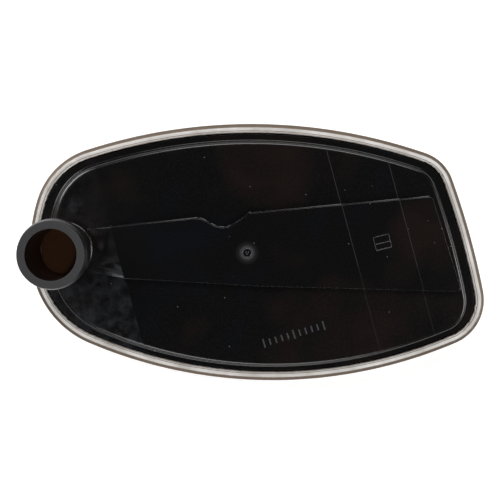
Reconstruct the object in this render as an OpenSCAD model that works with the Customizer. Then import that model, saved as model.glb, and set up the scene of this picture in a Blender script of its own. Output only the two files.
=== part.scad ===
// Flat crimped oil filter housing: a moulded cover with a suction neck, closed into a pressed steel pan.
// The long axis lies along X with the neck at the low end, and Z points up out of the neck.

/* [Outline] */
// Radius of the nearly straight far end
end_r = 365; // [330:5:400]
// Radius of the far corner on the wide side
far_upper_r = 21; // [18:0.5:26]
// Radius of the shoulder beside the neck, wide side
near_upper_r = 37; // [32:1:42]
// Radius of the shoulder beside the neck, narrow side
near_lower_r = 47; // [42:0.5:52]
// Radius of the long lower side
lower_side_r = 230.5; // [222:0.5:238]
// Radius of the far corner on the narrow side
far_lower_r = 23; // [19:0.5:28]

/* [Pan] */
// Sheet thickness of the pan
sheet_t = 0.8; // [0.6:0.1:1]
// Height of the ledge that the cover sits on
ledge_z = 12.5; // [12:0.5:16]
// Width of the hem that is folded over the cover
hem_w = 4.4; // [3.5:0.1:4.4]
// Width of the pressed beads in the floor
bead_w = 7; // [5:0.5:9]
// Radius of the inlet hole
inlet_r = 15; // [12:0.5:16]
// Distance of the inlet from the centre along X
inlet_x = 58; // [50:1:62]
// Distance of the inlet from the centre along Y
inlet_y = -4; // [-6:1:6]

/* [Cover] */
// Thickness of the clamped flange
flange_t = 2.5; // [2.5:0.5:4]
// Height of the lid over the flange
lid_h = 5; // [4:0.5:6]
// Height of the flow channel over the lid
channel_h = 3; // [2:0.5:3.5]
// Wall thickness of the lid
lid_t = 3; // [2.5:0.1:3]
// Lean of the creases in the lid, in degrees
crease_lean = 15; // [10:1:18]
// Fall of the lid towards the neck, in degrees
lid_fall = 2.5; // [0:0.5:2.5]
// Spacing of the stiffening ribs under the lid
rib_pitch = 18; // [14:1:24]

/* [Neck] */
// Height of the sealing face over the ground
neck_top_z = 51; // [46:1:56]
// Bore radius of the neck
neck_bore_r = 11.8; // [10:0.1:12]
// Outer radius of the moulded tube
tube_r = 13; // [12.8:0.1:13]
// Outer radius of the rubber seal at its face
seal_face_r = 15.5; // [15:0.1:15.8]
// Outer radius of the head of the seal
seal_head_r = 16.3; // [16:0.1:17]

/* [Filter element] */
// Thickness of the fine felt
fine_felt_t = 1.2; // [0.8:0.1:1.6]
// Thickness of the coarse felt
coarse_felt_t = 1.6; // [1:0.1:2]
// Pitch of the spacer lattice
spacer_pitch = 12; // [8:1:16]

/* [Hidden] */
$fn = 96;

// The outline is eight arcs that meet without a corner. Each entry of dirs is the direction that the
// outline faces where one arc ends and the next begins, counted from the far end round by the wide side.
dirs = [20, 71, 108, 162, 189, 247, 293, 371];
arc_steps = [5, 9, 12, 10, 6, 10, 12, 12];
function facing(a) = [cos(a), sin(a)];
function dir_before(i) = i == 0 ? dirs[7] - 360 : dirs[i - 1];
function span(i) = facing(dirs[i]) - facing(dir_before(i));

// The radii of the long upper side and of the rounded nose follow from the rest, so that the line closes.
rest = end_r * span(0) + far_upper_r * span(1) + near_upper_r * span(3) + near_lower_r * span(5)
     + lower_side_r * span(6) + far_lower_r * span(7);
det = span(2).x * span(4).y - span(2).y * span(4).x;
upper_side_r = (span(4).x * rest.y - span(4).y * rest.x) / det;
nose_r = (span(2).y * rest.x - span(2).x * rest.y) / det;
radii = [end_r, far_upper_r, upper_side_r, near_upper_r, nose_r, near_lower_r, lower_side_r, far_lower_r];

function arc_start(i) = i == 0 ? [0, 0] : arc_start(i - 1) + radii[i - 1] * span(i - 1);
raw = [for (i = [0:7]) for (k = [0:arc_steps[i] - 1])
    let (a = dir_before(i) + (dirs[i] - dir_before(i)) * k / arc_steps[i])
    [arc_start(i) + radii[i] * (facing(a) - facing(dir_before(i))), a]];
raw_x = [for (p = raw) p[0].x];
raw_y = [for (p = raw) p[0].y];
middle = [(min(raw_x) + max(raw_x)) / 2, (min(raw_y) + max(raw_y)) / 2];
half_len = (max(raw_x) - min(raw_x)) / 2;
count = len(raw);

// One closed line, set in from the rim by an even amount
function ring(inset) = [for (p = raw) p[0] - middle - inset * facing(p[1])];

// The foot of the lid stands further in at the two ends, and a little further in on the wide side
lid_side_inset = 7.9;
lid_end_extra = 1.6;
lid_bias = 0.5;
function lid_inset(a) = lid_side_inset + lid_end_extra * cos(a) * cos(a) + lid_bias * sin(a);
function lid_ring(more) = [for (p = raw) p[0] - middle - (lid_inset(p[1]) + more) * facing(p[1])];

// A closed solid through a stack of lines, each given as [line, height]; the first looks down, the last up
module loft(stack) {
    points = [for (s = stack) for (p = s[0]) [p.x, p.y, s[1]]];
    last = len(stack) - 1;
    sides = [for (j = [0:last - 1]) for (k = [0:count - 1]) let (n = (k + 1) % count)
        each [[j * count + k, j * count + n, (j + 1) * count + n],
              [j * count + k, (j + 1) * count + n, (j + 1) * count + k]]];
    floor_face = [for (k = [0:count - 1]) k];
    roof_face = [for (k = [count - 1:-1:0]) last * count + k];
    polyhedron(points, concat([floor_face, roof_face], [for (f = sides) [f[0], f[2], f[1]]]), convexity = 8);
}

// A flat plate with round ends, lying along X
module slot_plate(length, width, height) {
    translate([-length / 2, -width / 2, 0]) cube([length, width, height]);
    for (side = [-1, 1]) translate([side * length / 2, 0, 0]) cylinder(r = width / 2, h = height);
}

// Levels and places that several pieces share
felt_edge_t = 0.5;
clamp_z = ledge_z + 2 * felt_edge_t;
hem_under_z = clamp_z + flange_t;
rim_z = hem_under_z + sheet_t;
lid_z = hem_under_z + lid_h;
channel_z = lid_z + channel_h;
ceiling_z = lid_z - lid_t;
neck_x = -half_len + 17.56;
neck_y = 1.2;
crease_x = -67.4;
tube_top_z = neck_top_z - 10;
over = 1;

module at_neck() { translate([neck_x, neck_y, 0]) children(); }
module at_inlet() { translate([inlet_x, inlet_y, 0]) children(); }
module lean_at(x) { translate([x, 0, 0]) rotate([0, 0, crease_lean]) children(); }

// ---- pan ----
wall_foot = 9;
wall_head = 6.2;
bend = 0.7;
dish_depth = 1.2;
dish_r = inlet_r + 5.5;
bead_rise = 0.7;
bead_len = 46;
bead_rows = [-24, 0, 24];

module pan_skin() {
    loft([[ring(wall_foot + 2 * bend), 0],
          [ring(wall_foot), bend * 1.4],
          [ring(wall_head), ledge_z - sheet_t - bend],
          [ring(wall_head - bend), ledge_z - sheet_t],
          [ring(bend), ledge_z - sheet_t],
          [ring(0), ledge_z - sheet_t + bend],
          [ring(0), rim_z - bend],
          [ring(bend), rim_z],
          [ring(hem_w - 0.2), rim_z],
          [ring(hem_w), rim_z - 0.3],
          [ring(hem_w), hem_under_z],
          [ring(sheet_t), hem_under_z],
          [ring(sheet_t), ledge_z],
          [ring(wall_head), ledge_z],
          [ring(wall_head + sheet_t), ledge_z - bend - sheet_t / 2],
          [ring(wall_foot + sheet_t), bend + sheet_t],
          [ring(wall_foot + sheet_t + 2 * bend), sheet_t]]);
}

module bead(grow, height) {
    for (y = bead_rows) translate([-28, y, 0]) slot_plate(bead_len, bead_w + 2 * grow, height);
}

module pan() {
    color("#c9c6c1")
    difference() {
        union() {
            pan_skin();
            bead(sheet_t, bead_rise + sheet_t);
            at_inlet() cylinder(r = dish_r + sheet_t, h = dish_depth + sheet_t);
        }
        translate([0, 0, -over]) bead(0, bead_rise + over);
        at_inlet() translate([0, 0, -over]) cylinder(r = dish_r, h = dish_depth + over);
        at_inlet() cylinder(r = inlet_r, h = ledge_z);
    }
}

// ---- cover ----
flange_gap = 0.3;
groove_in = 2.2;
groove_w = 2.2;
groove_depth = 1;
lid_draft = 1.1;

// The edge of the flow channel on the wide side is one straight line with a scoop in it
channel_rise = 0.1;
channel_upper_y = 20;
scoop_x = -16.7;
scoop_y = 22.8;
scoop_r = 10.2;
scoop_half = 38;
channel_start = -88;
channel_end = 93.2;
function upper_edge(x) = [x, channel_upper_y + channel_rise * x];
scoop = [for (a = [-90 + scoop_half:-scoop_half / 4:-90 - scoop_half]) [scoop_x, scoop_y] + scoop_r * facing(a)];
end_lean = 0.306;
function end_edge(y) = [channel_end - y * end_lean, y];
channel_line = concat(
    [[channel_start, -7.6], [-65, -12.2], [0, -16], end_edge(-18.7), end_edge(27.6)],
    [upper_edge(-4)], scoop, [upper_edge(-27.8)], [[channel_start, 11.2]]);

module channel_block(bottom, top) { translate([0, 0, bottom]) linear_extrude(top - bottom) polygon(channel_line); }

// Everything above a plane that falls towards the neck from a crease
block = 140;
module above_fall(height, fall) {
    translate([0, 0, height]) lean_at(crease_x) rotate([0, -fall, 0])
        translate([-block, -block / 2, 0]) cube([block, block, block]);
}
channel_fall = 20;

module lid_body() {
    difference() {
        loft([[lid_ring(lid_t + lid_draft), ceiling_z],
              [lid_ring(lid_t), clamp_z],
              [ring(sheet_t + flange_gap), clamp_z],
              [ring(sheet_t + flange_gap), hem_under_z],
              [lid_ring(0), hem_under_z],
              [lid_ring(lid_draft - 0.3), lid_z - 0.6],
              [lid_ring(lid_draft + 0.4), lid_z]]);
        above_fall(lid_z, lid_fall);
    }
}

module flow_channel() {
    difference() {
        channel_block(ceiling_z + over, channel_z);
        above_fall(channel_z, channel_fall);
    }
}

// The hollow under the channel, on the far side of the crease
hollow_wall = 2.6;
module channel_hollow() {
    intersection() {
        translate([0, 0, ceiling_z - over]) linear_extrude(channel_h + over)
            offset(delta = -hollow_wall) polygon(channel_line);
        lean_at(crease_x + 4) translate([0, -block / 2, 0]) cube([2 * block, block, block]);
    }
}

// Ribs hang from the lid and end just over the felt
rib_t = 1.8;
rib_foot_z = clamp_z + 0.3;
rib_from = -58;
module ribs() {
    intersection() {
        for (x = [rib_from:rib_pitch:half_len]) lean_at(x)
            translate([-rib_t / 2, -block / 2, rib_foot_z]) cube([rib_t, block, ceiling_z + 0.5 - rib_foot_z]);
        translate([0, 0, rib_foot_z]) linear_extrude(channel_z - rib_foot_z) polygon(lid_ring(lid_t + 0.2));
    }
}

module neck_tube() {
    at_neck() {
        translate([0, 0, ceiling_z]) cylinder(r = tube_r, h = tube_top_z - ceiling_z);
        translate([0, 0, hem_under_z - over]) cylinder(r = tube_r, h = lid_h);
    }
}

// The bore widens a little towards the felt
bell_h = 6;
bell_slope = 0.15;

// A ring cut into the top of the lid round the mould gate, with its stub in the middle
gate_x = -4.7;
gate_y = -0.1;
module gate_ring() {
    translate([gate_x, gate_y, channel_z - 0.3]) difference() {
        cylinder(r = 2.35, h = over);
        translate([0, 0, -over]) cylinder(r = 1.9, h = 3 * over);
    }
}

module cover() {
    color("#17171a")
    difference() {
        union() {
            difference() {
                union() {
                    lid_body();
                    flow_channel();
                }
                channel_hollow();
                gate_ring();
            }
            ribs();
            neck_tube();
        }
        at_neck() translate([0, 0, clamp_z - over]) {
            cylinder(r = neck_bore_r, h = block);
            cylinder(r1 = neck_bore_r + bell_slope * (bell_h + over), r2 = neck_bore_r, h = bell_h + over);
        }
        translate([0, 0, clamp_z - over]) linear_extrude(groove_depth + over) difference() {
            polygon(ring(groove_in));
            polygon(ring(groove_in + groove_w));
        }
    }
}

module rim_gasket() {
    color("#2b2b2b") translate([0, 0, ledge_z]) linear_extrude(2 * felt_edge_t + groove_depth) difference() {
        polygon(ring(groove_in));
        polygon(ring(groove_in + groove_w));
    }
}

// ---- neck seal ----
seal_len = 22;
seal_bottom_z = neck_top_z - seal_len;
head_top_z = neck_top_z - 3.6;
head_bottom_z = neck_top_z - 8;
seal_body_r = tube_r + 1.6;
seal_round = 0.3;
module neck_seal() {
    color("#38393b") at_neck() rotate_extrude() polygon([
        [neck_bore_r, tube_top_z],
        [neck_bore_r, neck_top_z - seal_round],
        [neck_bore_r + seal_round, neck_top_z],
        [seal_face_r - seal_round, neck_top_z],
        [seal_face_r, neck_top_z - seal_round],
        [seal_head_r, head_top_z],
        [seal_head_r, head_bottom_z],
        [seal_body_r, head_bottom_z - 1.5],
        [seal_body_r, seal_bottom_z + seal_round],
        [seal_body_r - seal_round, seal_bottom_z],
        [tube_r, seal_bottom_z],
        [tube_r, tube_top_z]]);
}

// ---- filter element ----
// Both felts are squeezed thin between the ledge and the flange, and swell downwards inside the pan
felt_inset = 5;
swell_from = 7.2;
swell_to = 9.5;
fine_under_z = clamp_z - fine_felt_t;
coarse_under_z = fine_under_z - coarse_felt_t;

module fine_felt() {
    color("#a8875c") loft([
        [ring(swell_to), fine_under_z],
        [ring(swell_from), clamp_z - felt_edge_t],
        [ring(felt_inset), clamp_z - felt_edge_t],
        [ring(felt_inset), clamp_z]]);
}

module coarse_felt() {
    color("#cbb78f") loft([
        [ring(swell_to + 1), coarse_under_z],
        [ring(swell_from + 0.4), ledge_z],
        [ring(felt_inset), ledge_z],
        [ring(felt_inset), clamp_z - felt_edge_t],
        [ring(swell_from), clamp_z - felt_edge_t],
        [ring(swell_to), fine_under_z]]);
}

// A lattice on posts that keeps the felt off the floor of the pan
spacer_inset = 12;
spacer_bar = 1.6;
spacer_t = 2.2;
spacer_z = coarse_under_z - 0.2 - spacer_t;
post_r = 1.7;
post_rows = [-36, -12, 12, 36];
module spacer_bars() {
    for (x = [-half_len:spacer_pitch:half_len]) translate([x, -block / 2, 0]) cube([spacer_bar, block, spacer_t]);
    for (y = [-5 * spacer_pitch:spacer_pitch:5 * spacer_pitch])
        translate([-half_len, y, 0]) cube([2 * half_len, spacer_bar, spacer_t]);
}
module spacer_grid() {
    color("#ece8de") {
        translate([0, 0, spacer_z]) {
            intersection() {
                spacer_bars();
                linear_extrude(spacer_t) polygon(ring(spacer_inset + spacer_bar / 2));
            }
            linear_extrude(spacer_t) difference() {
                polygon(ring(spacer_inset));
                polygon(ring(spacer_inset + spacer_bar));
            }
        }
        for (x = [-70:35:35]) for (y = post_rows)
            translate([x, y, sheet_t]) cylinder(r = post_r, h = spacer_z + spacer_t - sheet_t);
    }
}

// ---- inlet ----
collar_t = 0.7;
collar_flange_r = dish_r - 1.5;
collar_top_z = 5;
module inlet_collar() {
    inner_r = inlet_r - collar_t;
    color("#b9babb") at_inlet() rotate_extrude() polygon([
        [inner_r, dish_depth - collar_t],
        [collar_flange_r, dish_depth - collar_t],
        [collar_flange_r, dish_depth],
        [inlet_r, dish_depth],
        [inlet_r, collar_top_z],
        [inner_r, collar_top_z]]);
}

module collar_backing_ring() {
    color("#9fa0a2") at_inlet() translate([0, 0, dish_depth + sheet_t]) difference() {
        cylinder(r = inlet_r + 3, h = 0.6);
        translate([0, 0, -over]) cylinder(r = inlet_r, h = 3);
    }
}

wire = 0.6;
wire_pitch = 2.6;
module inlet_screen() {
    screen_r = inlet_r - collar_t;
    color("#8f8f8c") at_inlet() translate([0, 0, collar_top_z]) {
        intersection() {
            union() {
                for (x = [-6 * wire_pitch:wire_pitch:6 * wire_pitch]) {
                    translate([x - wire / 2, -block / 2, 0]) cube([wire, block, wire]);
                    translate([-block / 2, x - wire / 2, 0]) cube([block, wire, wire]);
                }
            }
            cylinder(r = screen_r, h = wire);
        }
        difference() {
            cylinder(r = inlet_r, h = wire);
            translate([0, 0, -over]) cylinder(r = inlet_r - 1.4, h = 3);
        }
    }
}

cover();
pan();
neck_seal();
rim_gasket();
fine_felt();
coarse_felt();
spacer_grid();
inlet_collar();
collar_backing_ring();
inlet_screen();
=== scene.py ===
import math

import bmesh
import bpy
import numpy as np
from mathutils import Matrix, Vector
from mathutils.geometry import delaunay_2d_cdt


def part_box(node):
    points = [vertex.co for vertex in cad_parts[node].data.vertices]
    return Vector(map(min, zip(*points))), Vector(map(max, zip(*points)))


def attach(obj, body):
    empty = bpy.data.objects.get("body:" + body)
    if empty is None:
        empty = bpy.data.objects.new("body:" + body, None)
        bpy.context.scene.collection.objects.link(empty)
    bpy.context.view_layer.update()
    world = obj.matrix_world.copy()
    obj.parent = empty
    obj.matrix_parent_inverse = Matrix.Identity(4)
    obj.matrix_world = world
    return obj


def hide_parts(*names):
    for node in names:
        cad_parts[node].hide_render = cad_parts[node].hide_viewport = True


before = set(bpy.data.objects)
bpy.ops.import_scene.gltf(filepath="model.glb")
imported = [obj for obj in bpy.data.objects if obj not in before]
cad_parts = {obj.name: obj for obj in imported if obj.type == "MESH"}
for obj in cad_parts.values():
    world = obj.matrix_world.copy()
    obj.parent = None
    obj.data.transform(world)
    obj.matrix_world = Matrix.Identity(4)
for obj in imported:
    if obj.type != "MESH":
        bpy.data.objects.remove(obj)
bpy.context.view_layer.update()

mm = 0.001
print("stage: frame loaded")

# The outline of the rim is eight arcs that meet without a corner.
# facing is the direction in which the rim looks where one arc hands over to the next.
outline = {
    "facing": [20, 71, 108, 162, 189, 247, 293, 371],
    "endRadius": 365, "farUpperRadius": 21, "nearUpperRadius": 37,
    "nearLowerRadius": 47, "lowerSideRadius": 230.5, "farLowerRadius": 23,
}


def towards(degrees):
    return np.array([np.cos(np.radians(degrees)), np.sin(np.radians(degrees))])


def outlineArcs():
    turns = outline["facing"]
    starts = [turns[-1] - 360] + turns[:-1]
    spans = [towards(b) - towards(a) for a, b in zip(starts, turns)]
    radii = {0: outline["endRadius"], 1: outline["farUpperRadius"], 3: outline["nearUpperRadius"],
             5: outline["nearLowerRadius"], 6: outline["lowerSideRadius"], 7: outline["farLowerRadius"]}
    rest = sum(radii[i] * spans[i] for i in radii)
    # the long upper side and the nose take the radii that close the line
    radii[2], radii[4] = np.linalg.solve(np.array([spans[2], spans[4]]).T, -rest)
    return starts, turns, [radii[i] for i in range(8)]


def outlineSamples(spacing):
    points, facing = [], []
    corner = np.zeros(2)
    for a, b, radius in zip(*outlineArcs()):
        steps = max(2, round(radius * math.radians(b - a) / spacing))
        angles = a + (b - a) * np.arange(steps) / steps
        points.append(corner + radius * (towards(angles).T - towards(a)))
        facing.append(angles)
        corner = corner + radius * (towards(b) - towards(a))
    points = np.concatenate(points)
    return points - (points.min(0) + points.max(0)) / 2, np.concatenate(facing)


finePoints, fineFacing = outlineSamples(0.25)
fineNormals = towards(fineFacing).T


# how far inside the rim each point lies, and which way the rim faces there
def insetOf(xy):
    inset, facing = np.empty(len(xy)), np.empty(len(xy))
    chunk = 2000
    for start in range(0, len(xy), chunk):
        part = xy[start:start + chunk]
        near = ((part[:, None, :] - finePoints[None]) ** 2).sum(2).argmin(1)
        inset[start:start + chunk] = -((part - finePoints[near]) * fineNormals[near]).sum(1)
        facing[start:start + chunk] = fineFacing[near]
    return inset, facing


def ringAt(points, facing, inset):
    return points - towards(facing).T * np.reshape(inset, (-1, 1))


def circleAt(x, y, radius, steps=96):
    return np.array([x, y]) + radius * towards(np.linspace(0, 360, steps, endpoint=False)).T


# points over the whole plan
def squareGrid(step):
    halfLong, halfWide = 112, 64
    x, y = np.arange(-halfLong, halfLong, step), np.arange(-halfWide, halfWide, step)
    return np.stack(np.meshgrid(x, y), -1).reshape(-1, 2)


def fromAxis(xy, x, y):
    return np.hypot(xy[:, 0] - x, xy[:, 1] - y)


def meshObject(name, vertices, faces, shut=True):
    mesh = bpy.data.meshes.new(name)
    mesh.from_pydata([tuple(v * mm for v in p) for p in vertices], [], [list(map(int, f)) for f in faces])
    mesh.validate()
    if shut:
        work = bmesh.new()
        work.from_mesh(mesh)
        bmesh.ops.recalc_face_normals(work, faces=work.faces)
        work.to_mesh(mesh)
        work.free()
    mesh.update()
    mesh.shade_smooth()
    piece = bpy.data.objects.new(name, mesh)
    bpy.context.scene.collection.objects.link(piece)
    return piece


def joinParts(parts):
    vertices, faces = [], []
    for partVertices, partFaces in parts:
        base = len(vertices)
        vertices.extend(map(tuple, partVertices))
        faces.extend([[i + base for i in f] for f in partFaces])
    return vertices, faces


# skins row to row; every row is a closed line with the same number of points
def skinRows(rows, closed=False, caps=False):
    count = len(rows[0])
    faces = []
    for j in range(len(rows) if closed else len(rows) - 1):
        a, b = j * count, (j + 1) % len(rows) * count
        for k in range(count):
            n = (k + 1) % count
            faces.append([a + k, a + n, b + n, b + k])
    if caps:
        faces.append(list(range(count))[::-1])
        faces.append([(len(rows) - 1) * count + k for k in range(count)])
    return np.concatenate(rows), faces


# turns a closed profile of (radius, height) about an upright axis
def turned(profile, x, y, steps=144):
    angles = np.linspace(0, 2 * math.pi, steps, endpoint=False)
    rows = [np.stack([x + r * np.cos(angles), y + r * np.sin(angles), np.full(steps, z)], 1)
            for r, z in profile[::-1]]
    return skinRows(rows, closed=True)


# rounds the corners of a line with short arcs; radius may be one number or one for each corner
def rounded(points, radius, steps=5, closed=False):
    points = [np.array(p, float) for p in points]
    radii = np.broadcast_to(radius, len(points))
    out = []
    for i, p in enumerate(points):
        if not closed and i in (0, len(points) - 1):
            out.append(p)
            continue
        before, after = points[i - 1] - p, points[(i + 1) % len(points)] - p
        la, lb = np.linalg.norm(before), np.linalg.norm(after)
        ua, ub = before / la, after / lb
        half = math.acos(max(-1, min(1, float(ua @ ub)))) / 2
        nearlyStraight = 1.5
        if half > nearlyStraight:
            out.append(p)
            continue
        reach = min(radii[i] / math.tan(half), 0.48 * la, 0.48 * lb)
        for t in np.linspace(0, 1, steps + 1):
            a, b = p + ua * reach * (1 - t), p + ub * reach * t
            out.append(a * (1 - t) + b * t)
    return np.array(out)


# a closed line moved to its left, by one distance or by one for each point
def sideways(line, distance):
    before, after = np.roll(line, 1, 0), np.roll(line, -1, 0)
    da, db = line - before, after - line
    na = np.stack([-da[:, 1], da[:, 0]], 1) / np.linalg.norm(da, axis=1)[:, None]
    nb = np.stack([-db[:, 1], db[:, 0]], 1) / np.linalg.norm(db, axis=1)[:, None]
    mid = na + nb
    mid /= np.linalg.norm(mid, axis=1)[:, None]
    stretch = np.broadcast_to(distance, len(line)) / np.maximum(0.5, (mid * na).sum(1))
    return line + mid * stretch[:, None]


def insideLine(xy, line):
    inside = np.zeros(len(xy), bool)
    x, y = xy[:, 0], xy[:, 1]
    for a, b in zip(line, np.roll(line, -1, 0)):
        crosses = (a[1] > y) != (b[1] > y)
        with np.errstate(divide="ignore", invalid="ignore"):
            at = (b[0] - a[0]) * (y - a[1]) / (b[1] - a[1]) + a[0]
        inside ^= crosses & (x < at)
    return inside


def distanceToLine(xy, line):
    best = np.full(len(xy), 1e9)
    for a, b in zip(line, np.roll(line, -1, 0)):
        ab = b - a
        t = np.clip(((xy - a) @ ab) / (ab @ ab), 0, 1)
        best = np.minimum(best, np.linalg.norm(xy - a - t[:, None] * ab, axis=1))
    return best


# triangles over the plan, with every closed loop and open line kept as edges
def planTriangles(loops, lines, extra, keep):
    points, edges = [], []
    for line, shut in [(l, True) for l in loops] + [(l, False) for l in lines]:
        base = len(points)
        points.extend(Vector(p) for p in line)
        edges.extend((base + i, base + i + 1) for i in range(len(line) - 1))
        if shut:
            edges.append((base + len(line) - 1, base))
    points.extend(Vector(p) for p in extra)
    made, _, faces, _, _, _ = delaunay_2d_cdt(points, edges, [], 0, 1e-4)
    xy = np.array([tuple(p) for p in made])
    faces = np.array([f for f in faces if len(f) == 3])
    faces = faces[keep(xy[faces].mean(1))]
    a, b, c = (xy[faces[:, i]] for i in range(3))
    flipped = (b - a)[:, 0] * (c - a)[:, 1] - (b - a)[:, 1] * (c - a)[:, 0] < 0
    faces[flipped] = faces[flipped][:, ::-1]
    used, flat = np.unique(faces, return_inverse=True)
    return xy[used], flat.reshape(-1, 3)


# a sheet with a top and an underside over the same triangles, closed along every open edge
def closedSheet(xy, faces, top, under):
    count = len(xy)
    vertices = np.concatenate([np.column_stack([xy, top]), np.column_stack([xy, under])])
    openEdges = {}
    for f in faces:
        for a, b in ((int(f[0]), int(f[1])), (int(f[1]), int(f[2])), (int(f[2]), int(f[0]))):
            if (b, a) in openEdges:
                del openEdges[(b, a)]
            else:
                openEdges[(a, b)] = True
    walls = [[a, a + count, b + count, b] for a, b in openEdges]
    return vertices, faces.tolist() + [[f[0] + count, f[2] + count, f[1] + count] for f in faces] + walls


# levels and places that several pieces share, taken from the frame
panBox, coverBox, sealBox, feltBox = (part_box(n) for n in ("pan", "cover", "neck_seal", "fine_felt"))
rimTop = panBox[1].z / mm
flangeFoot = coverBox[0].z / mm
sealTop, sealFoot = sealBox[1].z / mm, sealBox[0].z / mm
neckX = (sealBox[0].x + sealBox[1].x) / 2 / mm
neckY = (sealBox[0].y + sealBox[1].y) / 2 / mm
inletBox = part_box("inlet_collar")
inletX = (inletBox[0].x + inletBox[1].x) / 2 / mm
inletY = (inletBox[0].y + inletBox[1].y) / 2 / mm

cover = {
    "flangeTop": 16.0, "lidTop": 21.0, "channelTop": 24.0,
    "sideInset": 7.9, "endExtra": 1.6, "bias": 0.5,  # foot of the lid, in from the rim
    "creaseX": -67.4, "lean": 15.0, "fall": 2.5, "channelFall": 20.0,
    "tubeRadius": 13.0, "boreRadius": 11.8, "tubeFillet": 1.3, "tubeTop": 41.0,
    "bellHeight": 6.0, "bellSlope": 0.15,
    "shell": 2.6,
    "lipGapFrom": 4.98, "lipGapTo": 5.06, "lipGapDepth": 0.8,  # shadow gap beside the folded hem
    "witnessX": [47.0, 75.5], "witnessWidth": 0.22, "witnessHeight": 0.07,
    "gate": (-4.9, 0.2), "gateRadius": 2.4,
    "neckEndDraft": 0.9,  # the wall of the lid leans this much more at the neck's end
}
channel = {
    "rise": 0.1, "upperY": 20.0, "scoop": (-16.7, 22.8), "scoopRadius": 10.2, "scoopHalf": 38,
    "start": -88.0, "end": 93.2, "endLean": 0.306, "lowerSpread": 0.5,
    "facetSlope": 25.0,  # beyond the crease the lower side is a flat facet
}
leanTan = math.tan(math.radians(cover["lean"]))


def lidInset(facing):
    cosine, sine = towards(facing)
    return cover["sideInset"] + cover["endExtra"] * cosine ** 2 + cover["bias"] * sine


def wallSpread(facing):
    return 1 + cover["neckEndDraft"] * np.clip(-towards(facing)[0], 0, 1)


def channelLine():
    half = channel["scoopHalf"]
    angles = np.linspace(-90 + half, -90 - half, 13)
    scoop = [tuple(np.array(channel["scoop"]) + channel["scoopRadius"] * towards(a)) for a in angles]

    def end(y):
        return (channel["end"] - y * channel["endLean"], y)

    def upper(x):
        return (x, channel["upperY"] + channel["rise"] * x)

    corners = [(channel["start"], -7.6), (-65, -12.2), (0, -16), end(-18.7), end(27.6), upper(-4)]
    plan = corners + scoop + [upper(-27.8), (channel["start"], 11.2)]
    soft = [2.5] * 3 + [2.2, 3.0, 3.0] + [1.0] * len(scoop) + [9.0, 2.5]
    return rounded(plan, soft, 5, closed=True)


def alongLean(xy):
    return (xy[:, 0] - cover["creaseX"] + xy[:, 1] * leanTan) * math.cos(math.radians(cover["lean"]))


channelPlan = channelLine()
# across the channel's edge: distance in from the foot, and share of the height reached
channelEdge = [(0, 0), (0.06, 0.05), (0.12, 0.3), (0.24, 0.82), (0.3, 0.94), (0.38, 0.985), (0.5, 1.0)]
# up the wall of the lid: distance in from the foot, and height over the flange
lidWall = [(-0.7, 0), (-0.35, 0.04), (-0.1, 0.2), (0.05, 0.6), (0.4, 3.3), (0.55, 3.95), (0.85, 4.5),
           (1.25, 4.82), (1.8, 5.0)]


# the lower side of the channel is wider
def edgeSpread(xy):
    return 1 + np.interp(xy[:, 1], [-10, -3], [1, 0]) * (channel["lowerSpread"] - 1)


def tangent(degrees):
    return math.tan(math.radians(degrees))


# the lid falls beyond the crease, and the channel falls faster until it meets the lid
def lidAndRise(xy):
    past = np.maximum(0, -alongLean(xy))
    lid = cover["lidTop"] - past * tangent(cover["fall"])
    return lid, np.maximum(0, cover["channelTop"] - past * tangent(cover["channelFall"]) - lid)


def fromChannelFoot(xy):
    return np.where(insideLine(xy, channelPlan), distanceToLine(xy, channelPlan), 0)


def coverHeight(xy):
    inset, facing = insetOf(xy)
    fromFoot = (inset - lidInset(facing)) / wallSpread(facing)
    wall = np.interp(fromFoot, [w[0] for w in lidWall], [w[1] for w in lidWall])
    lid, rise = lidAndRise(xy)
    height = cover["flangeTop"] + wall * (lid - cover["flangeTop"]) / lidWall[-1][1]
    depth = fromChannelFoot(xy)
    share = np.interp(depth / edgeSpread(xy), [e[0] for e in channelEdge], [e[1] for e in channelEdge])
    facet = np.interp(xy[:, 1], [-10, -3], [1, 0]) * np.interp(alongLean(xy), [-0.4, 0], [1, 0])
    ramp = np.minimum(rise, depth * tangent(channel["facetSlope"]))
    height = height + rise * share * (1 - facet) + ramp * facet
    fillet = cover["tubeFillet"]
    drop = np.clip(fillet - (fromAxis(xy, neckX, neckY) - cover["tubeRadius"]), 0, fillet)
    height = height + fillet - np.sqrt(fillet ** 2 - drop ** 2)
    height -= np.interp(inset, [cover["lipGapFrom"], cover["lipGapTo"]], [cover["lipGapDepth"], 0])
    for x in cover["witnessX"]:
        off = abs(xy[:, 0] - x + xy[:, 1] * leanTan)
        ridge = np.clip(1 - off / cover["witnessWidth"], 0, 1)
        height += cover["witnessHeight"] * ridge * (wall >= lidWall[-1][1])
    return height


def leaningLine(x, lowY, highY, steps=60):
    y = np.linspace(lowY, highY, steps)
    return np.stack([x - y * leanTan, y], 1)


# a small raised bar with sloping sides that stands on the cover
def raisedBar(x, y, length, width, height, turn, slope=0.12):
    along, across = towards(turn), towards(turn + 90)
    corners = np.array([(-1, -1), (1, -1), (1, 1), (-1, 1)])
    base = coverHeight(np.array([[x, y]]))[0]
    rows = []
    for z, shrink in ((-0.3, 0), (height - slope, 0), (height, slope)):
        half = np.array([length / 2 - shrink, width / 2 - shrink])
        plan = np.array([x, y]) + (corners * half) @ np.array([along, across])
        rows.append(np.column_stack([plan, np.full(4, base + z)]))
    return skinRows(rows, caps=True)


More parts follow.
